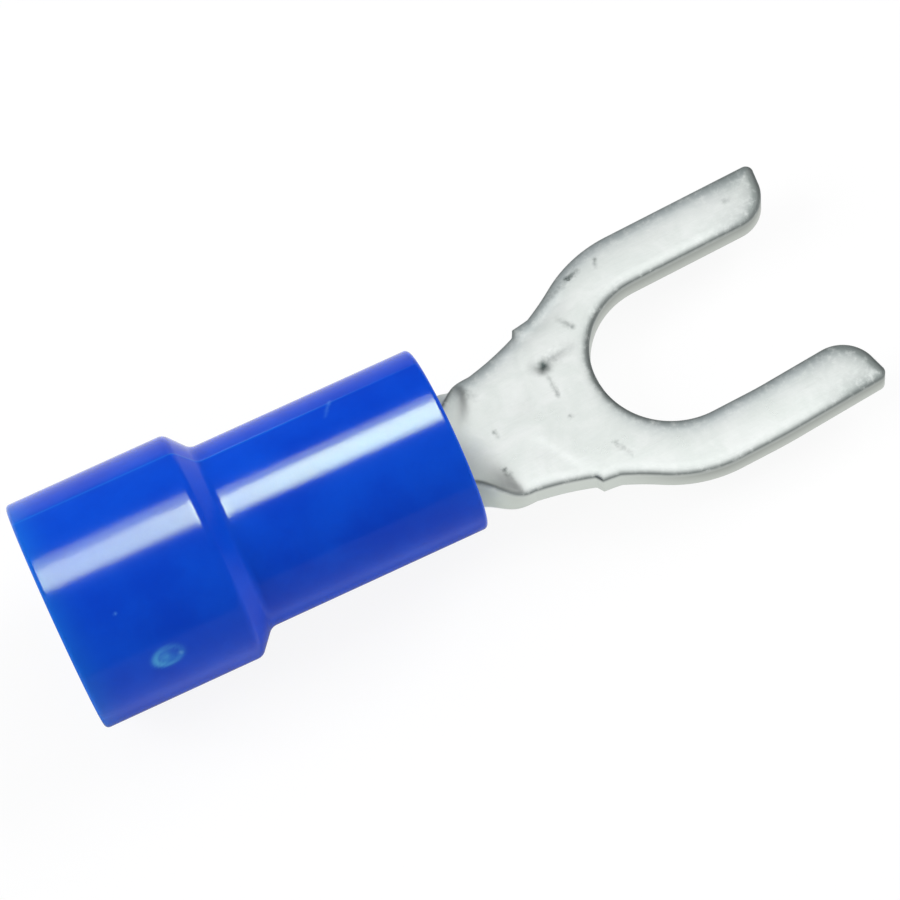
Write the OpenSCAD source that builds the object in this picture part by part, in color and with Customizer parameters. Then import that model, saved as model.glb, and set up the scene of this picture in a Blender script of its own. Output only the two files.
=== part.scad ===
// Insulated fork terminal for a crimped wire, size for 1.5 to 2.5 mm2 and an M4 stud.
// A forked tongue stamped from tinned copper sheet runs through a round-to-flat trough into a rolled
// barrel, and a stepped vinyl sleeve is pressed over that barrel.
// Origin: the stud's centre on the tongue's underside. +X runs to the tine tips, +Z is up.

/* [Tongue] */
// Thickness of the sheet that the whole terminal is stamped from
sheet_t = 0.8; // [0.6:0.05:1]
// Width across both tines, which is also the diameter of the round shoulders
tongue_w = 7.3; // [6.8:0.1:8]
// Width of the open slot, a clearance for the stud
slot_w = 4.3; // [3.5:0.1:4.7]
// Reach of the tines past the stud's centre
tine_reach = 4.35; // [3.5:0.05:6]
// Backward slant of each tine's end, in degrees
tip_slant = 9; // [0:1:15]
// Corner radius at the outer side of each tine's end
tip_outer_r = 0.2; // [0.05:0.05:0.3]
// Lead-in radius at the slot side of each tine's end
tip_inner_r = 1; // [0.2:0.05:1.1]
// Lean of the lower tine towards the slot, left by a knock, in degrees
tine_lean = 3; // [0:0.5:4]
// Distance ahead of the stud's centre where that tine starts to lean
lean_start = 1.3; // [0.5:0.1:2]

/* [Neck] */
// Distance of the flat neck's rear end behind the stud's centre
neck_back = 5; // [4.9:0.05:6.5]
// Width of the flat neck at its rear end
neck_w = 3.7; // [3.3:0.1:4.1]
// Outward slant of the neck's sides, in degrees
neck_flare = 11; // [4:1:12]
// Radius of the hollow sweep from the neck's side to the round shoulder
sweep_r = 8; // [5:0.5:9]
// Length over which the round trough flattens, up to the flat neck's rear end
flatten_l = 1.58; // [1.4:0.02:2.6]
// Part of that length that the sleeve covers
cover_l = 0.15; // [0.05:0.01:0.16]
// Half angle that the trough spans around the barrel's axis, in degrees
trough_half_angle = 60; // [45:1:75]
// Distance of the two carrier-strip nubs behind the stud's centre
nub_back = 3.2; // [2.8:0.05:3.6]
// Length of a nub along the neck's edge
nub_l = 0.65; // [0.3:0.05:0.9]
// Height of a nub's peak over the neck's edge
nub_h = 0.14; // [0.05:0.01:0.2]
// Length of a nub's short rear slope, up to its peak
nub_rise = 0.18; // [0.1:0.01:0.25]

/* [Barrel] */
// Inside diameter of the rolled barrel, for the bare strands
barrel_bore = 2.3; // [1.9:0.1:2.8]
// Length of the rolled barrel
barrel_l = 5.5; // [4.5:0.1:5.8]
// Setback of the barrel's front mouth behind the sleeve's front
mouth_setback = 0.8; // [0.3:0.1:1.2]
// Gap left at the rolled barrel's butt seam
seam_gap = 0.1; // [0.05:0.01:0.2]
// Sideways bend between the barrel's axis and the tongue, in degrees
side_bend = 3; // [-5:0.5:5]

/* [Sleeve] */
// Overall length of the sleeve
sleeve_l = 10.8; // [10:0.1:13]
// Wall thickness of the sleeve
sleeve_wall = 0.5; // [0.4:0.05:0.8]
// Inside diameter of the wide rear end, for the wire's own insulation
entry_bore = 5.1; // [4.6:0.1:6]
// Length of the wide rear end
entry_l = 4.3; // [3:0.1:5]
// Length of the outer taper between the wide rear end and the nose
taper_l = 0.5; // [0.4:0.05:1]
// Distance of the inner funnel's front end behind the outer taper's
funnel_lag = 0.3; // [0.15:0.05:0.6]
// Radius of the soft corners at both ends of the taper
taper_r = 0.3; // [0.1:0.05:0.4]
// Radius of the rounded rims at the sleeve's ends
rim_r = 0.12; // [0.05:0.01:0.19]
// Radial clearance between the barrel and the sleeve around it
sleeve_fit = 0.02; // [0.01:0.01:0.1]

/* [Hidden] */

// Pieces along a rounded corner, along a swept edge, and across and along the trough
corner_steps = 6;
sweep_steps = 18;
trough_across = 16;
trough_along = 20;
// How far a cutting body runs past the face it cuts
over = 1;
// Half angle in degrees under which a section of the trough counts as flat
flat_angle = 0.01;
// Step of the trough's faces inside the barrel's wall and the tongue's sides, and its run into both
root_step = 0.02;
root_run = 0.3;

barrel_ri = barrel_bore / 2;
barrel_ro = barrel_ri + sheet_t;
shoulder_r = tongue_w / 2;
// Centre of the upper sweep, which touches the neck's slanted side and the round shoulder: a point
// beside that side by the sweep's radius, run forward until it is as far from the stud's centre as
// the two radii together
neck_corner = [-neck_back, neck_w / 2];
flare_way = [cos(neck_flare), sin(neck_flare)];
sweep_start = neck_corner + sweep_r * [-flare_way.y, flare_way.x];
sweep_dot = sweep_start * flare_way;
sweep_apart = pow(shoulder_r + sweep_r, 2) - sweep_start * sweep_start;
sweep_run = -sweep_dot - sqrt(sweep_dot * sweep_dot + sweep_apart);
sweep_c = sweep_start + flare_way * sweep_run;
shoulder_angle = atan2(sweep_c.y, sweep_c.x);
// Where the trough starts to flatten, and the sleeve's front, where the barrel's axis is bent sideways
flatten_x = -neck_back - flatten_l;
sleeve_front = flatten_x + cover_l;
// The trough's half width along the middle of the sheet, where it leaves the barrel
trough_mid_r = barrel_ri + sheet_t / 2;
trough_half_w = trough_mid_r * trough_half_angle * PI / 180;
// Radii of the sleeve
nose_ri = barrel_ro + sleeve_fit;
nose_ro = nose_ri + sleeve_wall;
entry_ri = entry_bore / 2;
entry_ro = entry_ri + sleeve_wall;
// Stations along the sleeve, from its rear end: the inner funnel follows the outer taper
funnel_end = entry_l + taper_l - funnel_lag;
funnel_start = funnel_end - taper_l;

function unit(v) = v / norm(v);
function mirrored(points) = [for (i = [len(points) - 1 : -1 : 0]) [points[i].x, -points[i].y]];

// Points of an arc about c from angle a0 to angle a1
function arc(c, r, a0, a1, steps) =
    [for (i = [0 : steps]) let (a = a0 + (a1 - a0) * i / steps) c + r * [cos(a), sin(a)]];

// Points of the arc that rounds the corner q between its neighbours p and s
function corner(p, q, s, r) =
    let (u = unit(p - q), v = unit(s - q), half = acos(u * v) / 2)
    let (c = q + unit(u + v) * r / sin(half), m = unit(-u - v))
    let (side = u.x * v.y - u.y * v.x > 0 ? 1 : -1, middle = atan2(m.y, m.x), span = 90 - half)
    arc(c, r, middle + side * span, middle - side * span, corner_steps);

// Half of the tongue's outline, from the neck round the shoulder and the tine's end to the slot
tine_end = [tine_reach, shoulder_r];
slot_mouth = [tine_reach - (tongue_w - slot_w) / 2 * tan(tip_slant), slot_w / 2];
half_outline = concat(
    [neck_corner],
    arc(sweep_c, sweep_r, neck_flare - 90, shoulder_angle - 180, sweep_steps),
    arc([0, 0], shoulder_r, shoulder_angle, 90, sweep_steps),
    [[lean_start, shoulder_r]],
    corner([0, shoulder_r], tine_end, slot_mouth, tip_outer_r),
    corner(tine_end, slot_mouth, [0, slot_w / 2], tip_inner_r),
    [[lean_start, slot_w / 2], [0, slot_w / 2]]
);

// A point of the lower half turned about the middle of its tine, if it lies past the start of the lean
lean_c = [lean_start, -(tongue_w + slot_w) / 4];
function leaned(p) =
    let (d = p - lean_c, a = p.x < lean_start ? 0 : tine_lean)
    lean_c + [d.x * cos(a) - d.y * sin(a), d.x * sin(a) + d.y * cos(a)];

// A small nub of the carrier strip left on the neck's swept edge: steep behind, fading out forwards
module nub() {
    along = -nub_back - sweep_c.x;
    edge_y = sweep_c.y - sqrt(sweep_r * sweep_r - along * along);
    rear = -nub_l / 2;
    front = nub_l / 2;
    translate([-nub_back, edge_y])
        rotate(asin(along / sweep_r))
        polygon([[rear, -nub_h], [rear, 0], [rear + nub_rise, nub_h], [front, 0], [front, -nub_h]]);
}

// The flat forked tongue: swept neck, round shoulders and two tines around the stud's slot
module tongue() {
    linear_extrude(sheet_t)
        difference() {
            union() {
                polygon(concat(half_outline, [for (p = mirrored(half_outline)) leaned(p)]));
                nub();
                mirror([0, 1]) nub();
            }
            circle(d = slot_w, $fn = 96);
        }
}

// Share of the flattening done at a station: 0 in the barrel, 1 all along the flat neck
function flattened(x) =
    let (u = min(1, max(0, (x - flatten_x) / flatten_l)))
    pow(u, 3) * (10 - 15 * u + 6 * u * u);

// A point turned about the upright line through the sleeve's front, as far as its section isn't flat yet
function side_bent(p, f) =
    let (a = -side_bend * (1 - f), x = p.x - sleeve_front)
    [sleeve_front + x * cos(a) - p.y * sin(a), x * sin(a) + p.y * cos(a), p.z];

// One section across the trough at x: the outer face's points, then the inner face's in return
function trough_section(x) =
    let (f = flattened(x), inset = root_step * (1 - f))
    let (half_w = trough_half_w + (neck_w / 2 - trough_half_w) * f - (x > -neck_back ? root_step : 0))
    let (half_a = trough_half_angle * (1 - f), bend_r = half_a > flat_angle ? half_w * 180 / PI / half_a : 0)
    let (shares = [for (i = [0 : trough_across]) 2 * i / trough_across - 1])
    let (outer = [for (k = shares) trough_point(x, k, half_w, half_a, bend_r, inset)])
    let (inner = [for (k = shares) trough_point(x, -k, half_w, half_a, bend_r, sheet_t - inset)])
    [for (p = concat(outer, inner)) side_bent(p, f)];

// A point of the section at share k across it and height h over the sheet's underside
function trough_point(x, k, half_w, half_a, bend_r, h) =
    let (r = bend_r + sheet_t / 2 - h)
    bend_r == 0
    ? [x, k * half_w, h]
    : [x, r * sin(k * half_a), bend_r + sheet_t / 2 - r * cos(k * half_a)];

// The round-to-flat trough, from inside the barrel's wall to inside the flat neck
module trough() {
    ring = 2 * (trough_across + 1);
    stations = concat(
        [sleeve_front - mouth_setback - root_run],
        [for (i = [0 : trough_along]) flatten_x + flatten_l * i / trough_along],
        [root_run - neck_back]
    );
    last = len(stations) - 1;
    skin = [
        for (s = [0 : last - 1], i = [0 : ring - 1])
        let (a = s * ring + i, b = s * ring + (i + 1) % ring)
        each [[b + ring, b, a], [a + ring, b + ring, a]]
    ];
    ends = [
        for (i = [0 : trough_across - 1])
        let (a = i, b = i + 1, c = ring - 2 - i, d = ring - 1 - i, end = last * ring)
        each [[c, d, a], [b, c, a], [end + d, end + c, end + a], [end + c, end + b, end + a]]
    ];
    polyhedron([for (x = stations) each trough_section(x)], concat(skin, ends));
}

// Places what is drawn along +Z on the barrel's axis, a length back from the sleeve's front
module on_barrel_axis(back) {
    translate([sleeve_front, 0, barrel_ro])
        rotate(-side_bend)
        translate([-back, 0, 0])
        rotate([0, 90, 0])
        children();
}

// The rolled barrel with its butt seam on top
module barrel() {
    on_barrel_axis(mouth_setback + barrel_l)
        difference() {
            cylinder(r = barrel_ro, h = barrel_l, $fn = 96);
            translate([0, 0, -over])
                cylinder(r = barrel_ri, h = barrel_l + 2 * over, $fn = 96);
            translate([-barrel_ro - over, -seam_gap / 2, -over])
                cube([barrel_ro + over, seam_gap, barrel_l + 2 * over]);
        }
}

// Stamped and rolled sheet terminal, one piece from the barrel to the tines
module terminal() {
    color([0.86, 0.87, 0.85]) {
        tongue();
        trough();
        barrel();
    }
}

// Moulded sleeve: wide rear end, short taper, and a nose pressed over the barrel
module sleeve() {
    rear_in = [entry_ri, 0];
    rear_out = [entry_ro, 0];
    taper_rear = [entry_ro, entry_l];
    taper_front = [nose_ro, entry_l + taper_l];
    front_out = [nose_ro, sleeve_l];
    front_in = [nose_ri, sleeve_l];
    funnel_front = [nose_ri, funnel_end];
    funnel_rear = [entry_ri, funnel_start];
    profile = concat(
        corner(funnel_rear, rear_in, rear_out, rim_r),
        corner(rear_in, rear_out, taper_rear, rim_r),
        corner(rear_out, taper_rear, taper_front, taper_r),
        corner(taper_rear, taper_front, front_out, taper_r),
        corner(taper_front, front_out, front_in, rim_r),
        [front_in, funnel_front, funnel_rear]
    );
    color([0.05, 0.27, 0.83])
        on_barrel_axis(sleeve_l)
        rotate_extrude($fn = 96)
        polygon(profile);
}

terminal();
sleeve();
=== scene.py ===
import math

import bpy
import numpy as np
from mathutils import Matrix, Vector


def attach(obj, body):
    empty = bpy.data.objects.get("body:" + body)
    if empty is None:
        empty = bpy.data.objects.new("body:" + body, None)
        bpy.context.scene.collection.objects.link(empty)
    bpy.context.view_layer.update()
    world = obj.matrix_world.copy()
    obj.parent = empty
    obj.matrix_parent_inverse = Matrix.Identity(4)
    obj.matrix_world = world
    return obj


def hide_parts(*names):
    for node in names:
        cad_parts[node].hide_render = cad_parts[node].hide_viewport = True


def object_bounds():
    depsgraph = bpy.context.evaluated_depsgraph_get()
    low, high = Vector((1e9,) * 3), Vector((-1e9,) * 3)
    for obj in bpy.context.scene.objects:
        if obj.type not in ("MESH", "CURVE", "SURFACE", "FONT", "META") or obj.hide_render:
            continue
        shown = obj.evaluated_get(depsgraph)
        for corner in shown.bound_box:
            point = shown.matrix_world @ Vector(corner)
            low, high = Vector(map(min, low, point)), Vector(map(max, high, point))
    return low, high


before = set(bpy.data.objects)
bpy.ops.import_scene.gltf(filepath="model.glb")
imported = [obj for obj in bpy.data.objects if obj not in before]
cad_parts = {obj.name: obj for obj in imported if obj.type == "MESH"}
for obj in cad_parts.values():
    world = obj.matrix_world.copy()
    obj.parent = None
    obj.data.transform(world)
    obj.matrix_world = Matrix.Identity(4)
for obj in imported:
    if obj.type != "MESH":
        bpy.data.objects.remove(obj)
cad_box = [list(corner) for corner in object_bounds()]

# The terminal: one piece of copper alloy sheet, stamped as a flat forked blank with two nubs where it
# was cut from its carrier strip, then rolled into a barrel at the rear and tin plated all over.
# The punch leaves a slightly crowned face with rounded upper edges, a sheared wall and a sharper lower edge.
MM = 0.001
sheet_t = 0.8
slot_r = 2.15
shoulder_r = 3.65
tine_reach = 4.35
tip_slant = math.radians(9)
tip_outer_r = 0.2
tip_inner_r = 1.0
tine_lean = math.radians(3)
lean_start = 1.3
neck_back = 5.0
neck_half_w = 1.85
neck_flare = math.radians(11)
sweep_r = 8.0
flatten_l = 1.58
cover_l = 0.15
trough_half_a = math.radians(60)
least_bend = 1e-4
nub_back = 3.2
nub_l = 0.65
nub_h = 0.14
nub_rise = 0.18
barrel_ri = 1.15
barrel_l = 5.5
mouth_setback = 0.8
seam_gap = 0.1
side_bend = math.radians(3)
die_roll_w = 0.3
die_roll_h = 0.08
crown_w = 0.8
crown_h = 0.03
burr_edge_r = 0.04
barrel_columns = 32
tip_run = 0.55
tip_crowding = 1.6
lean_soft = 0.3
wall_levels = (0.3, 0.6, 0.85)
rim_shade_w = 0.075
far_shade_w = 0.36
tip_shade, tip_shade_w = 1.2, 0.17
tip_wear_from, tip_wear_run, tip_wear_w = 2.2, 1.5, 0.4
edge_wear, edge_wear_w = 0.4, 0.14

tin_dull = (0.74, 0.785, 0.755, 1)
tin_bright = (0.835, 0.865, 0.845, 1)
tin_drawn = (0.62, 0.66, 0.64, 1)
tin_trough = (0.56, 0.6, 0.58, 1)
tin_far_shade = (0.38, 0.44, 0.46, 1)
tin_stain_and_shade = (0.27, 0.31, 0.3, 1)
tin_rim_shade = (0.17, 0.19, 0.185, 1)
wall_top_shaded = (0.25, 0.27, 0.25, 1)
wall_foot_lit = (0.52, 0.55, 0.51, 1)
wall_neck_lit = (0.6, 0.64, 0.6, 1)
scuff_and_dent_shade = (0.10, 0.125, 0.12, 1)

mid_r = barrel_ri + sheet_t / 2
barrel_ro = barrel_ri + sheet_t
trough_half_w = mid_r * trough_half_a
flatten_x = -neck_back - flatten_l
sleeve_front = flatten_x + cover_l
barrel_mouth = sleeve_front - mouth_setback
barrel_rear = barrel_mouth - barrel_l


def flattened(x):
    u = np.clip((x - flatten_x) / flatten_l, 0, 1)
    return u ** 3 * (10 - 15 * u + 6 * u * u)


def strip_half_width(x):
    return trough_half_w + (neck_half_w - trough_half_w) * flattened(x)


def arc(centre, r, a0, a1, steps):
    a = np.linspace(a0, a1, steps + 1)
    return np.stack([centre[0] + r * np.cos(a), centre[1] + r * np.sin(a)], 1)


def rounded_corner(before, at, after, r, steps):
    u = (before - at) / np.linalg.norm(before - at)
    v = (after - at) / np.linalg.norm(after - at)
    half = math.acos(np.dot(u, v)) / 2
    m = (u + v) / np.linalg.norm(u + v)
    centre = at + m * r / math.sin(half)
    middle = math.atan2(-m[1], -m[0])
    side = 1 if u[0] * v[1] - u[1] * v[0] > 0 else -1
    span = math.pi / 2 - half
    return arc(centre, r, middle + side * span, middle - side * span, steps)


def along(points, shares):
    step = np.linalg.norm(np.diff(points, axis=0), axis=1)
    s = np.concatenate([[0], np.cumsum(step)])
    return np.stack([np.interp(shares * s[-1], s, points[:, k]) for k in (0, 1)], 1)


def neck_edge():
    """Outer edge of the upper half from the flat neck's rear end to the round shoulder, with its nub."""
    way = np.array([math.cos(neck_flare), math.sin(neck_flare)])
    corner = np.array([-neck_back, neck_half_w])
    start = corner + sweep_r * np.array([-way[1], way[0]])
    dot = start @ way
    run = -dot - math.sqrt(dot * dot - start @ start + (shoulder_r + sweep_r) ** 2)
    centre = start + way * run
    shoulder_a = math.atan2(centre[1], centre[0])
    straight = np.linspace(corner, corner + way * run, 12)[:-1]
    swept = arc(centre, sweep_r, neck_flare - math.pi / 2, shoulder_a - math.pi, 60)
    edge = along(np.concatenate([straight, swept]), np.linspace(0, 1, 401))
    slope = np.gradient(edge, axis=0)
    normal = np.stack([-slope[:, 1], slope[:, 0]], 1) / np.linalg.norm(slope, axis=1)[:, None]
    at = int(np.argmin(abs(edge[:, 0] + nub_back)))
    past = np.cumsum(np.linalg.norm(slope, axis=1))
    past = past - past[at] + nub_l / 2
    proud = np.interp(past, [0, nub_rise, nub_l], [0, nub_h, 0])
    return (edge + normal * proud[:, None])[::5], shoulder_a


def blank_halves():
    """Matched points of the blank's upper half, inner (centre line, then slot) and outer, tail to tip."""
    x = np.concatenate([
        np.linspace(barrel_rear, barrel_mouth, barrel_columns)[:-1],
        np.linspace(barrel_mouth, flatten_x, 7)[:-1],
        np.linspace(flatten_x, -neck_back, 44)[:-1],
    ])
    inner = [np.stack([x, 0 * x], 1)]
    outer = [np.stack([x, strip_half_width(x)], 1)]
    edge, shoulder_a = neck_edge()
    share = np.linspace(0, 1, len(edge))
    inner.append(np.stack([-neck_back + share * (neck_back - slot_r), 0 * share], 1)[:-1])
    outer.append(edge[:-1])
    inner.append(arc((0, 0), slot_r, math.pi, math.pi / 2, 46)[:-1])
    outer.append(arc((0, 0), shoulder_r, shoulder_a, math.pi / 2, 46)[:-1])
    tip = np.array([tine_reach, shoulder_r])
    mouth = np.array([tine_reach - (shoulder_r - slot_r) * math.tan(tip_slant), slot_r])
    lead_in = rounded_corner(tip, mouth, np.array([0, slot_r]), tip_inner_r, 40)[::-1]
    outer_round = rounded_corner(np.array([0, shoulder_r]), tip, mouth, tip_outer_r, 12)
    x = np.linspace(0, lead_in[0, 0], 40)[:-1]
    inner.append(np.stack([x, 0 * x + slot_r], 1))
    straight_end = outer_round[0, 0] - tip_run
    outer.append(np.stack([x * straight_end / lead_in[0, 0], 0 * x + shoulder_r], 1))
    share = 1 - (1 - np.linspace(0, 1, 30)) ** tip_crowding
    last_run = np.concatenate([[[straight_end, shoulder_r]], outer_round])
    inner.append(along(lead_in, share))
    outer.append(along(last_run, share))
    return np.concatenate(inner), np.concatenate(outer)


most_of_width = 0.4


def rows_across(inner, outer, steps, near=(0, 0.008, 0.022, 0.045, 0.08, 0.13, 0.2, 0.3)):
    """Points across each column, closer together beside both edges; a narrow column draws them in."""
    width = np.linalg.norm(outer - inner, axis=1)[:, None]
    near = np.array(near) * np.minimum(1, most_of_width * width / near[-1])
    middle = near[:, -1:] + (width - 2 * near[:, -1:]) * np.linspace(0, 1, steps + 2)[1:-1]
    share = np.concatenate([near, middle, width - near[:, ::-1]], 1) / width
    return inner[:, None] + (outer - inner)[:, None] * share[:, :, None]


def grid_quads(rows, columns):
    i, j = np.meshgrid(np.arange(rows - 1), np.arange(columns - 1), indexing="ij")
    a = (i * columns + j).ravel()
    return np.stack([a, a + columns, a + columns + 1, a + 1], 1)


inner, outer = blank_halves()
strip = rows_across(inner, outer, 28)
wing_x = inner[:barrel_columns, 0]
seam_side = mid_r * (math.pi - math.asin(seam_gap / 2 / mid_r))
wing_in = np.stack([wing_x, np.full(barrel_columns, trough_half_w)], 1)
wing_out = np.stack([wing_x, np.full(barrel_columns, seam_side)], 1)
wing = rows_across(wing_in, wing_out, 22, near=(0, 0.04, 0.1))
points, quads = [], []
for half in (1, -1):
    for patch in (strip, wing):
        faces = grid_quads(*patch.shape[:2]) + sum(len(p) for p in points)
        points.append(patch.reshape(-1, 2) * (1, half))
        quads.append(faces if half == 1 else faces[:, ::-1])
points, index = np.unique(np.round(np.concatenate(points), 5), axis=0, return_inverse=True)
quads = index.reshape(-1)[np.concatenate(quads)]

# The blank's cut edges are the sides that only one face has; each point keeps its distance from the
# nearest one and the way that edge looks
sides = np.stack([quads, np.roll(quads, -1, axis=1)], 2).reshape(-1, 2)
sides = sides[sides[:, 0] != sides[:, 1]]
count = {}
for a, b in map(tuple, sides):
    count[(min(a, b), max(a, b))] = count.get((min(a, b), max(a, b)), 0) + 1
cut = np.array([s for s in map(tuple, sides) if count[(min(s), max(s))] == 1])
inset = np.full(len(points), 9.0)
facing = np.zeros((len(points), 2))
ends_a, ends_b = points[cut[:, 0]], points[cut[:, 1]]
outward = (ends_b - ends_a)[:, ::-1] * (1, -1) / np.linalg.norm(ends_b - ends_a, axis=1)[:, None]
batch = 1500
for first in range(0, len(points), batch):
    p = points[first:first + batch, None]
    t = np.clip(((p - ends_a) * (ends_b - ends_a)).sum(2) / ((ends_b - ends_a) ** 2).sum(1), 0, 1)
    gap = np.linalg.norm(p - ends_a - t[:, :, None] * (ends_b - ends_a), axis=2)
    inset[first:first + batch] = gap.min(axis=1)
    facing[first:first + batch] = outward[gap.argmin(axis=1)]


def rounded_off(in_from_edge, w, h):
    return h - h * np.sqrt(1 - np.clip(1 - in_from_edge / w, 0, 1) ** 2)


# Knocks: place, half widths and depth. Folds: from, to, width and height of each soft step
knocks = ((-3.24, 1.13, 0.17, 0.15, 0.05), (-2.75, 1.25, 0.4, 0.13, 0.012))
folds = (
    ((-3.75, 1.6), (-3.93, 0.6), 0.16, 0.02),
    ((-3.1, 2.2), (-2.1, 2.6), 0.14, 0.018),
    ((-4.1, -0.95), (-3.7, -1.8), 0.18, 0.02),
)
knock_clear = 0.3
wave_h = 0.004


def dented(p):
    """Depth of the knocks and of the soft unevenness that rolling leaves in the upper face."""
    depth = np.zeros(len(p))
    for x, y, half_x, half_y, deep in knocks:
        depth += deep * np.exp(-(((p[:, 0] - x) / half_x) ** 2 + ((p[:, 1] - y) / half_y) ** 2))
    for a, b, w, h in folds:
        a, run = np.array(a), np.array(b) - np.array(a)
        share = np.clip((p - a) @ run / (run @ run), 0, 1)
        off = p - a - share[:, None] * run
        beside = (off[:, 0] * run[1] - off[:, 1] * run[0]) / np.linalg.norm(run)
        depth += h * (1 + np.tanh(2 * beside / w)) / 2 * np.exp(-(off ** 2).sum(1) / (2.5 * w) ** 2)
    wave = np.sin(1.9 * p[:, 0] + 0.7 * p[:, 1]) * np.sin(1.3 * p[:, 1] - 0.6 * p[:, 0] + 1.1)
    return depth + wave_h * (1 + wave)


def leaned(p):
    """Turns the lower tine's points a little towards the slot, through a short soft bend."""
    into = np.where(p[:, 1] < 0, p[:, 0] - lean_start + lean_soft, 0)
    turn = tine_lean * np.clip(into / (2 * lean_soft), 0, 1)
    shift = np.where(into > 2 * lean_soft, tine_lean * (into - lean_soft), turn * into / 2)
    beside = p[:, 1] + (slot_r + shoulder_r) / 2
    return p + np.stack([-beside * np.sin(turn), shift - beside * (1 - np.cos(turn))], 1)


def rolled_up(p, h):
    """Takes the flat blank's points at height h over its underside to the finished terminal."""
    p = leaned(p)
    f = flattened(p[:, 0])
    half_a = trough_half_a * (1 - f)
    bent = half_a > least_bend
    bend_r = strip_half_width(p[:, 0]) / np.maximum(half_a, least_bend)
    a = p[:, 1] / bend_r
    r = bend_r + sheet_t / 2 - h
    y = np.where(bent, r * np.sin(a), p[:, 1])
    z = np.where(bent, bend_r + sheet_t / 2 - r * np.cos(a), h)
    turn = -side_bend * (1 - f)
    x = p[:, 0] - sleeve_front
    turned_x = sleeve_front + x * np.cos(turn) - y * np.sin(turn)
    turned_y = x * np.sin(turn) + y * np.cos(turn)
    return np.stack([turned_x, turned_y, z], 1)


upper = sheet_t - rounded_off(inset, die_roll_w, die_roll_h)
upper -= dented(points) * np.clip(inset / knock_clear, 0, 1)
upper -= crown_h * np.clip(1 - inset / crown_w, 0, 1) ** 2 * flattened(points[:, 0])
lower = rounded_off(inset, burr_edge_r, burr_edge_r)
shell = [rolled_up(points, upper), rolled_up(points, lower)]
edge_points = np.unique(cut)
place = np.zeros(len(points), int)
place[edge_points] = np.arange(len(edge_points))
levels = [np.arange(len(points))]
base = 2 * len(points)
for level in wall_levels:
    h = upper[edge_points] + (lower[edge_points] - upper[edge_points]) * level
    shell.append(rolled_up(points[edge_points], h))
    levels.append(base + place)
    base += len(edge_points)
levels.append(len(points) + np.arange(len(points)))
faces = [quads, quads[:, ::-1] + len(points)]
for high, low in zip(levels[:-1], levels[1:]):
    faces.append(np.stack([high[cut[:, 1]], high[cut[:, 0]], low[cut[:, 0]], low[cut[:, 1]]], 1))
faces = np.concatenate(faces)
shell = np.concatenate(shell)


def mesh_piece(name, verts, faces):
    """A smooth shaded mesh object in metres from points in millimetres; a corner met twice is dropped."""
    mesh = bpy.data.meshes.new(name)
    clean = [list(dict.fromkeys(f)) for f in faces.tolist()]
    mesh.from_pydata((verts * MM).tolist(), [], [f for f in clean if len(f) > 2])
    mesh.validate()
    mesh.polygons.foreach_set("use_smooth", [True] * len(mesh.polygons))
    piece = bpy.data.objects.new(name, mesh)
    bpy.context.scene.collection.objects.link(piece)
    return piece


def point_values(piece, name, values):
    layer = piece.data.attributes.new(name, "FLOAT", "POINT")
    layer.data.foreach_set("value", np.asarray(values, np.float32))


terminal = mesh_piece("stamped_terminal", shell, faces)
flat = flattened(points[:, 0])
no_wall = np.zeros(len(shell) - 2 * len(points))
plain = np.zeros(len(points))
on_edge = (inset < 1e-6) * 1.0
# Darker and rougher across the barrel and the rolled trough, fading out along the flattening.
trough_share = np.clip(1.25 - 1.25 * flat, 0, 1)
# Painted shade: a dark line along every cut edge, standing in for the rounded edge mirroring dark
# surroundings.
rim = np.exp(-(inset / rim_shade_w) ** 2)
# Painted shade: a grey-blue band inside the cut edges that face +y, on the flat part only.
far_shade = np.clip(facing[:, 1], 0, 1) * np.exp(-(inset / far_shade_w) ** 2) * flat
# Real staining towards the tine tips and a little along every edge, then painted shade at the +x-facing
# edges.
wear_and_shade = np.clip((points[:, 0] - tip_wear_from) / tip_wear_run, 0, 1) * np.exp(-inset / tip_wear_w)
wear_and_shade += edge_wear * np.exp(-inset / edge_wear_w)
# Painted shade: a dark band inside the cut edges that face +x, at the tine tips and the slot's root.
wear_and_shade += tip_shade * np.clip(facing[:, 0], 0, 1) * np.exp(-(inset / tip_shade_w) ** 2)
point_values(terminal, "rim_painted_shade", np.concatenate([rim, plain, no_wall]))
point_values(terminal, "sheared_wall", np.concatenate([plain, on_edge, no_wall + 1]))
trough_walls = [trough_share[edge_points]] * len(wall_levels)
point_values(terminal, "rolled_trough", np.concatenate([trough_share, trough_share] + trough_walls))
point_values(terminal, "far_edge_shade", np.concatenate([far_shade, plain, no_wall]))
point_values(terminal, "worn_and_shaded_edge", np.concatenate([wear_and_shade, plain, no_wall]))


def new_material(name):
    material = bpy.data.materials.new(name)
    material.use_nodes = True
    nodes = material.node_tree.nodes
    return material, nodes, material.node_tree.links, nodes["Principled BSDF"]


def node(nodes, kind, **values):
    made = nodes.new(kind)
    for key, value in values.items():
        if key.startswith("in_"):
            made.inputs[key[3:].replace("_", " ")].default_value = value
        else:
            setattr(made, key, value)
    return made


def maths(tree, operation, a, b=None, clamp=False):
    made = tree.nodes.new("ShaderNodeMath")
    made.operation = operation
    made.use_clamp = clamp
    for socket, value in zip(made.inputs, (a, b)):
        if isinstance(value, (int, float)):
            socket.default_value = value
        elif value is not None:
            tree.links.new(value, socket)
    return made.outputs[0]


def mixed(tree, share, a, b):
    made = tree.nodes.new("ShaderNodeMix")
    made.data_type = "RGBA"
    for socket, value in zip((made.inputs[0], made.inputs[6], made.inputs[7]), (share, a, b)):
        if isinstance(value, (int, float, tuple)):
            socket.default_value = value
        else:
            tree.links.new(value, socket)
    return made.outputs[2]


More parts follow.
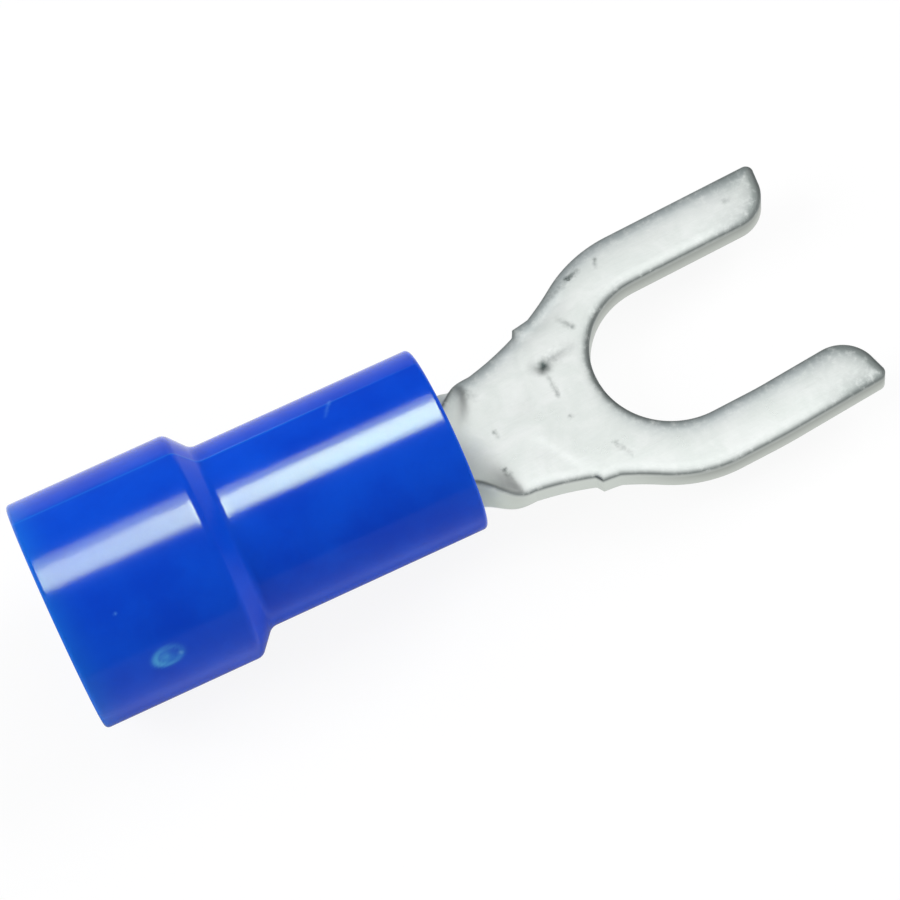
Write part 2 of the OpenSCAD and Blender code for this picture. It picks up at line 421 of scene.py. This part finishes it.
def ramp(tree, value, low, high):
    made = tree.nodes.new("ShaderNodeMapRange")
    made.interpolation_type = "SMOOTHSTEP"
    made.inputs["From Min"].default_value = low
    made.inputs["From Max"].default_value = high
    tree.links.new(value, made.inputs["Value"])
    return made.outputs[0]


def lifted(tree, value, scale, level):
    """The value times scale, plus level."""
    return maths(tree, "ADD", maths(tree, "MULTIPLY", value, scale), level)


def tinted(tree, base, mask, strength, colour):
    return mixed(tree, maths(tree, "MULTIPLY", mask, strength), base, colour)


def noise(tree, place, **values):
    made = node(tree.nodes, "ShaderNodeTexNoise", **values)
    tree.links.new(place, made.inputs["Vector"])
    return made.outputs["Fac"]


def attribute(tree, name):
    return node(tree.nodes, "ShaderNodeAttribute", attribute_name=name).outputs["Fac"]


def place_in_mm(tree):
    """Places on the part, in millimetres from its origin."""
    scaled = node(tree.nodes, "ShaderNodeVectorMath", operation="SCALE", in_Scale=1 / MM)
    tree.links.new(node(tree.nodes, "ShaderNodeTexCoord").outputs["Object"], scaled.inputs[0])
    return scaled.outputs[0]


def stroke_group():
    """A scuff, scratch, speck or painted shade: a soft stroke between two places, frayed by a little noise.
    """
    group = bpy.data.node_groups.new("mark_and_shade_stroke", "ShaderNodeTree")
    for name in ("Place", "From", "To"):
        group.interface.new_socket(name, in_out="INPUT", socket_type="NodeSocketVector")
    for name in ("Width", "Fade", "Fray"):
        group.interface.new_socket(name, in_out="INPUT", socket_type="NodeSocketFloat")
    group.interface.new_socket("Mask", in_out="OUTPUT", socket_type="NodeSocketFloat")
    nodes, links = group.nodes, group.links
    start, end = nodes.new("NodeGroupInput").outputs, nodes.new("NodeGroupOutput").inputs
    wobble = noise(group, start["Place"], in_Scale=9.0, in_Detail=3.0)

    def vector(operation, a, b):
        made = node(nodes, "ShaderNodeVectorMath", operation=operation)
        links.new(a, made.inputs[0])
        links.new(b, made.inputs[3 if operation == "SCALE" else 1])
        return made.outputs["Value" if operation in ("DOT_PRODUCT", "DISTANCE") else "Vector"]

    run = vector("SUBTRACT", start["To"], start["From"])
    reach = vector("SUBTRACT", start["Place"], start["From"])
    length_2 = vector("DOT_PRODUCT", run, run)
    share = maths(group, "DIVIDE", vector("DOT_PRODUCT", reach, run), length_2, clamp=True)
    gap = vector("DISTANCE", reach, vector("SCALE", run, share))
    fray = maths(group, "MULTIPLY", maths(group, "SUBTRACT", wobble, 0.5), start["Fray"])
    past = maths(group, "SUBTRACT", maths(group, "ADD", gap, fray), start["Width"])
    core = maths(group, "SUBTRACT", 1.0, maths(group, "DIVIDE", past, start["Fade"], clamp=True))
    thinned = maths(group, "SUBTRACT", 1.0, maths(group, "MULTIPLY", share, 0.65))
    links.new(maths(group, "MULTIPLY", maths(group, "POWER", core, 1.6), thinned), end["Mask"])
    return group


mark_and_shade_stroke = stroke_group()


def strokes(tree, place, rows):
    """The strongest of several strokes: from, to, width, fade, fray and strength of each, in millimetres."""
    total = None
    for start, end, width, fade, fray, strength in rows:
        made = node(tree.nodes, "ShaderNodeGroup", node_tree=mark_and_shade_stroke, in_From=start, in_To=end,
                    in_Width=width, in_Fade=fade, in_Fray=fray)
        tree.links.new(place, made.inputs["Place"])
        mask = maths(tree, "MULTIPLY", made.outputs["Mask"], strength)
        total = mask if total is None else maths(tree, "MAXIMUM", total, mask)
    return total


# Scuffs of the upper face, the first one painted shade in the deep knock: from x, y to x, y, then width,
# fade, fray and strength
tongue_scuffs_and_dent_shade = [
    ((x0, y0, sheet_t), (x1, y1, sheet_t), *rest) for x0, y0, x1, y1, *rest in (
        (-3.2, 1.13, -3.34, 1.2, 0.07, 0.3, 0.1, 1.0),
        (-3.12, 1.17, -2.3, 1.27, 0.0, 0.3, 0.3, 0.5),
        (-3.25, 0.2, -3.2, 0.9, 0.0, 0.12, 0.18, 0.5),
        (-2.0, 1.73, -2.22, 2.1, 0.0, 0.15, 0.2, 0.55),
        (-0.56, 3.17, -0.66, 2.95, 0.0, 0.1, 0.12, 0.6),
        (-1.45, 3.03, -1.1, 3.12, 0.02, 0.12, 0.25, 0.95),
        (-1.5, 3.0, -2.5, 2.62, 0.0, 0.14, 0.3, 0.35),
        (-3.25, -0.5, -3.22, -0.5, 0.0, 0.12, 0.15, 0.6),
        (-5.16, 0.1, -5.14, -0.1, 0.0, 0.1, 0.15, 0.55),
        (-5.43, -1.0, -5.4, -1.3, 0.0, 0.16, 0.3, 0.7),
        (-2.61, -1.7, -2.41, -2.25, 0.0, 0.12, 0.3, 0.35),
        (-5.3, 1.45, -5.15, 1.2, 0.0, 0.2, 0.35, 0.4),
        (3.2, 2.95, 3.35, 2.9, 0.0, 0.14, 0.25, 0.3),
    )
]


def tinned_metal():
    material, nodes, links, skin = new_material("tinned_metal")
    tree = material.node_tree
    place = place_in_mm(tree)
    drawn = node(nodes, "ShaderNodeMapping", in_Scale=(1.2, 16.0, 3.0))
    links.new(place, drawn.inputs["Vector"])
    grain = noise(tree, drawn.outputs[0], in_Scale=1.0, in_Detail=6.0, in_Roughness=0.65)
    cloud = noise(tree, place, in_Scale=1.1, in_Detail=5.0, in_Roughness=0.6, in_Distortion=0.6)
    spangle = noise(tree, place, in_Scale=5.0, in_Detail=4.0, in_Roughness=0.65)
    wall, trough_share = attribute(tree, "sheared_wall"), attribute(tree, "rolled_trough")

    face = mixed(tree, ramp(tree, cloud, 0.3, 0.75), tin_dull, tin_bright)
    face = tinted(tree, face, ramp(tree, grain, 0.5, 0.75), 0.15, tin_drawn)
    # Darker across the barrel and the rolled trough.
    face = tinted(tree, face, trough_share, 0.2, tin_trough)
    # Painted shade along the +y-facing edges, mottled.
    far_shade = maths(tree, "MULTIPLY", attribute(tree, "far_edge_shade"), ramp(tree, spangle, 0.1, 0.6))
    face = tinted(tree, face, far_shade, 0.85, tin_far_shade)
    mottle = lifted(tree, ramp(tree, spangle, 0.25, 0.6), 0.65, 0.35)
    # Real stains mixed with painted shade at the +x-facing edges, mottled.
    stain_and_shade = maths(tree, "MULTIPLY", attribute(tree, "worn_and_shaded_edge"), mottle, clamp=True)
    face = tinted(tree, face, stain_and_shade, 0.8, tin_stain_and_shade)
    # Painted shade: the dark line along the cut edges, mottled.
    edge = maths(tree, "MULTIPLY", attribute(tree, "rim_painted_shade"), ramp(tree, spangle, 0.0, 0.5))
    face = tinted(tree, face, edge, 0.9, tin_rim_shade)
    # The cut wall's own duller tone, with painted shade: darker towards the top, and lighter along the neck
    # than along the tines.
    apart = node(nodes, "ShaderNodeSeparateXYZ")
    links.new(place, apart.inputs[0])
    wall_tone_and_shade = mixed(tree, ramp(tree, apart.outputs["Z"], 0.75, 0.0), wall_top_shaded, wall_foot_lit)
    wall_tone_and_shade = mixed(tree, ramp(tree, apart.outputs["X"], -0.5, -3.5), wall_tone_and_shade, wall_neck_lit)
    face = tinted(tree, face, wall, 0.95, wall_tone_and_shade)
    # Dark scuffs, and painted shade in the deep knock.
    face = mixed(tree, strokes(tree, place, tongue_scuffs_and_dent_shade), face, scuff_and_dent_shade)
    links.new(face, skin.inputs["Base Color"])

    skin.inputs["Metallic"].default_value = 1.0
    rough = lifted(tree, cloud, 0.16, 0.22)
    for mask, more in ((wall, 0.15), (trough_share, 0.35), (stain_and_shade, 0.15)):
        rough = maths(tree, "ADD", rough, maths(tree, "MULTIPLY", mask, more))
    links.new(rough, skin.inputs["Roughness"])
    fine_relief = maths(tree, "MULTIPLY", spangle, 0.6)
    relief = maths(tree, "ADD", maths(tree, "MULTIPLY", grain, 0.4), fine_relief)
    bump = node(nodes, "ShaderNodeBump", in_Strength=0.25, in_Distance=0.00002)
    links.new(relief, bump.inputs["Height"])
    links.new(bump.outputs["Normal"], skin.inputs["Normal"])
    return material


terminal.data.materials.append(tinned_metal())
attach(terminal, "root")
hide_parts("terminal")

# The sleeve: moulded in one piece from blue vinyl, wide at the wire end, with a short taper down to a
# nose that is pressed over the barrel. The mould leaves two fine parting lines along it and a round
# gate mark on the wide end. Its thin rims are painted a paler blue: painted light, as if shining through.
sleeve_l = 10.8
sleeve_wall = 0.5
press_gap = 0.02
nose_ri = barrel_ro + press_gap
nose_ro = nose_ri + sleeve_wall
entry_ri = 2.55
entry_ro = entry_ri + sleeve_wall
entry_l = 4.3
taper_l = 0.5
taper_r = 0.3
sleeve_rim_r = 0.12
funnel_lag = 0.3
funnel_end = entry_l + taper_l - funnel_lag
skin_share = 0.6
parting_a = math.radians(30)
seam_w, seam_h = 0.035, 0.008
seam_fade_l, seam_least = 4.5, 0.25
gate_back, gate_a, gate_r = 8.62, math.radians(-65.5), 0.25
gate_stretch, gate_line_w, gate_open_a = 1.35, 0.07, 1.9
gate_lip_h, gate_pit_h = 0.022, 0.03

vinyl_deep = (0.0022, 0.06, 0.66, 1)
vinyl_light = (0.0032, 0.085, 0.76, 1)
vinyl_flow = (0.002, 0.055, 0.58, 1)
vinyl_seam = (0.02, 0.25, 0.88, 1)
vinyl_rim_light = (0.02, 0.25, 0.85, 1)
vinyl_gate = (0.09, 0.46, 0.9, 1)
vinyl_scratch = (0.12, 0.4, 0.85, 1)


def sleeve_profile():
    """Radius and distance from the rear end, once round the wall from the funnel's narrow end."""
    corners = [np.array(c) for c in (
        (nose_ri, funnel_end), (entry_ri, funnel_end - taper_l), (entry_ri, 0), (entry_ro, 0),
        (entry_ro, entry_l), (nose_ro, entry_l + taper_l), (nose_ro, sleeve_l), (nose_ri, sleeve_l))]
    radii = (0.0, 0.1, sleeve_rim_r, sleeve_rim_r, taper_r, taper_r, sleeve_rim_r, 0.04)
    steps = (0.4, 0.4, 0.4, 0.07, 0.4, 0.16, 0.4, 0.4)
    ring = []
    for k, (c, r) in enumerate(zip(corners, radii)):
        before, after = corners[k - 1], corners[(k + 1) % len(corners)]
        ring.append(rounded_corner(before, c, after, r, 10) if r else c[None])
    outline = []
    for k, part in enumerate(ring):
        follow = ring[(k + 1) % len(ring)][0]
        gap = np.linalg.norm(follow - part[-1])
        pieces = max(1, round(gap / steps[k]))
        outline += [part, np.linspace(part[-1], follow, pieces + 1)[1:-1]]
    return np.concatenate(outline)


profile = sleeve_profile()
angles = np.linspace(-math.pi, math.pi, 241)[:-1]
fine = np.radians([-1.6, -0.8, -0.4, -0.2, 0.0, 0.2, 0.4, 0.8, 1.6])
angles = np.sort(np.concatenate([angles, parting_a + fine, parting_a - math.pi + fine]))
angles = angles[np.concatenate([[True], np.diff(angles) > 1e-4])]
r, back = profile[:, None, 0] + 0 * angles, sleeve_l - profile[:, None, 1] + 0 * angles
turn = angles[None] + 0 * r
on_entry = back >= sleeve_l - entry_l
skin_depth = skin_share * sleeve_wall
outside = (r > nose_ri + skin_depth) & ((r > entry_ri + skin_depth) | ~on_entry)
seam = np.maximum(
    np.exp(-((turn - parting_a) * r / seam_w) ** 2),
    np.exp(-((turn - parting_a + math.pi) * r / seam_w) ** 2),
) * outside
seam *= np.clip(back / seam_fade_l, seam_least, 1)
gate_up, gate_along = (turn - gate_a) * r, (back - gate_back) / gate_stretch
off_gate = np.hypot(gate_up, gate_along)
gate = np.exp(-((off_gate - gate_r) / gate_line_w) ** 2) * outside
pit = np.clip(1 - off_gate / gate_r, 0, 1) ** 0.5 * outside
open_side = 0.5 + 0.5 * np.cos(np.arctan2(gate_along, gate_up) - gate_open_a)
r = r + seam_h * seam + gate_lip_h * gate * open_side - gate_pit_h * pit
r = np.minimum(r, np.where(back > sleeve_l - entry_l - 0.2, entry_ro, r))
across = r * np.sin(turn)
lathe = np.stack([
    sleeve_front - back * math.cos(side_bend) + across * math.sin(side_bend),
    back * math.sin(side_bend) + across * math.cos(side_bend),
    barrel_ro + r * np.cos(turn),
], 2)
rows, columns = r.shape
i, j = np.meshgrid(np.arange(rows), np.arange(columns), indexing="ij")
i2, j2 = (i + 1) % rows, (j + 1) % columns
faces = np.stack([i * columns + j, i2 * columns + j, i2 * columns + j2, i * columns + j2], 2)
sleeve = mesh_piece("vinyl_sleeve", lathe.reshape(-1, 3), faces.reshape(-1, 4))
gate_pale = np.maximum(gate * (0.25 + 0.75 * open_side), pit * (0.2 + 0.6 * open_side))
to_rear = sleeve_l - back
# Painted light: paler blue bands at both rims, widest at the rear end.
wide_glow, wide_glow_w, rim_glow, rim_glow_w = 0.55, 0.5, 0.45, 0.12
nose_glow, nose_glow_w = 0.3, 0.08
rear_rim_light = wide_glow * np.exp(-(to_rear / wide_glow_w) ** 2)
rear_rim_light += rim_glow * np.exp(-(to_rear / rim_glow_w) ** 2)
front_rim_light = nose_glow * np.exp(-(back / nose_glow_w) ** 2)
point_values(sleeve, "parting_line", seam.ravel())
point_values(sleeve, "gate_mark", gate_pale.ravel())
point_values(sleeve, "thin_rim", np.maximum(rear_rim_light, front_rim_light).ravel())

# A scratch on the nose and two specks: from, to, width, fade, fray and strength
vinyl_marks = (
    ((-8.79, 1.4, 4.07), (-9.08, 0.98, 4.27), 0.0, 0.1, 0.08, 0.35),
    ((-14.89, -2.37, 3.15), (-14.93, -2.37, 3.15), 0.02, 0.08, 0.06, 0.8),
    ((-15.88, -1.24, 4.46), (-15.9, -1.24, 4.46), 0.0, 0.08, 0.06, 0.5),
)


def blue_vinyl():
    material, nodes, links, skin = new_material("blue_vinyl")
    tree = material.node_tree
    place = place_in_mm(tree)
    cloud = noise(tree, place, in_Scale=0.45, in_Detail=4.0, in_Roughness=0.55)
    flow = noise(tree, place, in_Scale=14.0, in_Detail=3.0)
    blue = mixed(tree, ramp(tree, cloud, 0.3, 0.7), vinyl_deep, vinyl_light)
    blue = tinted(tree, blue, ramp(tree, flow, 0.6, 0.8), 0.2, vinyl_flow)
    blue = tinted(tree, blue, attribute(tree, "parting_line"), 0.4, vinyl_seam)
    # Painted light: paler blue at the rims.
    blue = tinted(tree, blue, attribute(tree, "thin_rim"), 0.5, vinyl_rim_light)
    blue = mixed(tree, attribute(tree, "gate_mark"), blue, vinyl_gate)
    blue = mixed(tree, strokes(tree, place, vinyl_marks), blue, vinyl_scratch)
    links.new(blue, skin.inputs["Base Color"])
    links.new(lifted(tree, cloud, 0.08, 0.1), skin.inputs["Roughness"])
    skin.inputs["IOR"].default_value = 1.2
    bump = node(nodes, "ShaderNodeBump", in_Strength=0.08, in_Distance=0.00002)
    links.new(flow, bump.inputs["Height"])
    links.new(bump.outputs["Normal"], skin.inputs["Normal"])
    return material


sleeve.data.materials.append(blue_vinyl())
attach(sleeve, "root")
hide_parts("sleeve")

# The floor: a wide white studio sheet under the sleeve's lowest point. It takes the soft shadow and is
# lifted to a clean white where the camera sees it; where it is mirrored, a painted shadow darkens it beside
# the sleeve.
floor_half = 900
floor_gap = 0.004
beside_sleeve = (2.6 * MM, 4.2 * MM)
before_sleeve = (-7 * MM, -5 * MM)
white_dull = (0.92, 0.92, 0.92, 1)
white_clean = (0.95, 0.95, 0.95, 1)
floor_z = cad_box[0][2] / MM - floor_gap
corners = np.array([(-1, -1), (1, -1), (1, 1), (-1, 1)]) * floor_half
floor_points = np.column_stack([corners, np.full(4, floor_z)])
floor = mesh_piece("studio_floor", floor_points, np.array([[0, 1, 2, 3]]))


def studio_white():
    material, nodes, links, skin = new_material("studio_white")
    tree = material.node_tree
    place = node(nodes, "ShaderNodeTexCoord").outputs["Object"]
    white = mixed(tree, noise(tree, place, in_Scale=40.0), white_dull, white_clean)
    matte = node(nodes, "ShaderNodeBsdfDiffuse")
    links.new(white, matte.inputs["Color"])
    apart = node(nodes, "ShaderNodeSeparateXYZ")
    links.new(place, apart.inputs[0])
    # Painted shadow: the glow seen in reflections falls to a quarter beside and under the sleeve.
    shadow_painted_glow = ramp(tree, maths(tree, "ABSOLUTE", apart.outputs["Y"]), *beside_sleeve)
    shadow_painted_glow = maths(tree, "MAXIMUM", shadow_painted_glow, ramp(tree, apart.outputs["X"], *before_sleeve))
    shadow_painted_glow = lifted(tree, shadow_painted_glow, 0.75, 0.25)
    seen = node(nodes, "ShaderNodeLightPath").outputs
    glow = nodes.new("ShaderNodeEmission")
    links.new(maths(tree, "MAXIMUM", seen["Is Camera Ray"], shadow_painted_glow), glow.inputs["Strength"])
    mirrored = maths(tree, "MAXIMUM", seen["Is Glossy Ray"], seen["Is Transmission Ray"])
    in_view = maths(tree, "MULTIPLY", seen["Is Camera Ray"], 0.9)
    both = nodes.new("ShaderNodeMixShader")
    links.new(maths(tree, "MAXIMUM", in_view, mirrored), both.inputs[0])
    links.new(matte.outputs[0], both.inputs[1])
    links.new(glow.outputs[0], both.inputs[2])
    links.new(both.outputs[0], nodes["Material Output"].inputs["Surface"])
    nodes.remove(skin)
    return material


floor.data.materials.append(studio_white())

# The studio: an even, dim room with two soft lamps for the colours and one for the floor. Pale panels
# round the terminal are mirrored by its tinned faces and edges alone, and three bright panels overhead
# draw the long highlight on the glossy sleeve alone. Places and sizes are in millimetres.
world = bpy.data.worlds.new("studio")
bpy.context.scene.world = world
world.use_nodes = True
sky = world.node_tree
way = node(sky.nodes, "ShaderNodeTexCoord").outputs["Generated"]


def towards(direction, low, high):
    made = node(sky.nodes, "ShaderNodeVectorMath", operation="DOT_PRODUCT")
    made.inputs[1].default_value = Vector(direction).normalized()
    sky.links.new(way, made.inputs[0])
    return ramp(sky, made.outputs["Value"], low, high)


room_low, room_high = (0.3, 0.3, 0.3, 1), (0.2, 0.2, 0.205, 1)
shade = mixed(sky, towards((0, 0.6, 0.8), -0.4, 0.9), room_low, room_high)
sky.links.new(shade, sky.nodes["Background"].inputs["Color"])


def lamp(name, place, aim, size, watts):
    data = bpy.data.lights.new(name, "AREA")
    data.shape = "RECTANGLE"
    data.size, data.size_y = size[0] * MM, size[1] * MM
    data.energy = watts
    made = bpy.data.objects.new(name, data)
    made.location = Vector(place) * MM
    made.rotation_euler = (Vector(aim) - Vector(place)).to_track_quat("-Z", "Y").to_euler()
    bpy.context.scene.collection.objects.link(made)
    return made


def lights_only(made, piece):
    group = bpy.data.collections.new("lit_by_" + made.name)
    group.objects.link(piece)
    made.light_linking.receiver_collection = group


def panel_watts(size, radiance):
    return radiance * math.pi * size[0] * size[1] * MM * MM


part_middle, tongue_middle = (-6, 0, 0), (-2, 0, 0)
for name, x in (("left_lamp", -330), ("right_lamp", 330)):
    lamp(name, (x, 80, 300), part_middle, (260, 260), 1.1).visible_glossy = False
lights_only(lamp("floor_lamp", (-6, 0, 500), part_middle, (600, 600), 0.9), floor)
for name, place, size, radiance in (
    ("tongue_panel", (-2, 96, 300), (460, 220), 0.79),
    ("near_panel", (0, -330, 190), (700, 380), 0.9),
    ("glint_panel", (-2, -105, 310), (460, 190), 1.05),
    ("soft_panel", (-2, 46, 312), (460, 112), 0.3),
    ("rear_panel", (-2, 320, 300), (600, 160), 0.4),
    ("far_panel", (0, 430, 130), (800, 260), 0.55),
    ("right_panel", (420, -120, 120), (500, 240), 0.85),
):
    lights_only(lamp(name, place, tongue_middle, size, panel_watts(size, radiance)), terminal)
for name, (x, y, z), size, radiance, tint in (
    ("overhead_wide", (5, 96, 304), (190, 198), 22.0, (0.9, 1.0, 0.42)),
    ("overhead_core", (5, 68, 302), (190, 120), 34.0, (0.9, 1.0, 0.42)),
    ("overhead_front", (55, 55, 300), (110, 142), 37.0, (0.98, 1.25, 0.55)),
):
    made = lamp(name, (x, y, z), (x, y, 0), size, panel_watts(size, radiance))
    made.data.color = tint
    made.visible_diffuse = False
    lights_only(made, sleeve)

# The camera: a long lens from above and in front of the terminal's right side, as in the photograph.
bpy.context.scene.view_settings.view_transform = "Standard"
lens = bpy.data.cameras.new("camera")
focal_px, photo_px, sensor_mm = 3436.8, 900, 36
lens.sensor_width = sensor_mm
lens.lens = focal_px * sensor_mm / photo_px
lens.clip_start, lens.clip_end = 0.001, 10
camera = bpy.data.objects.new("camera", lens)
right = Vector((0.882735, -0.459820, -0.096671))
down = Vector((-0.455762, -0.787870, -0.414176))
ahead = Vector((0.114282, 0.409666, -0.905049))
camera_place = Vector((-16.4197, -35.7953, 80.3390)) * MM
turned = Matrix((right, -down, -ahead)).transposed().to_4x4()
camera.matrix_world = Matrix.Translation(camera_place) @ turned
bpy.context.scene.collection.objects.link(camera)
bpy.context.scene.camera = camera
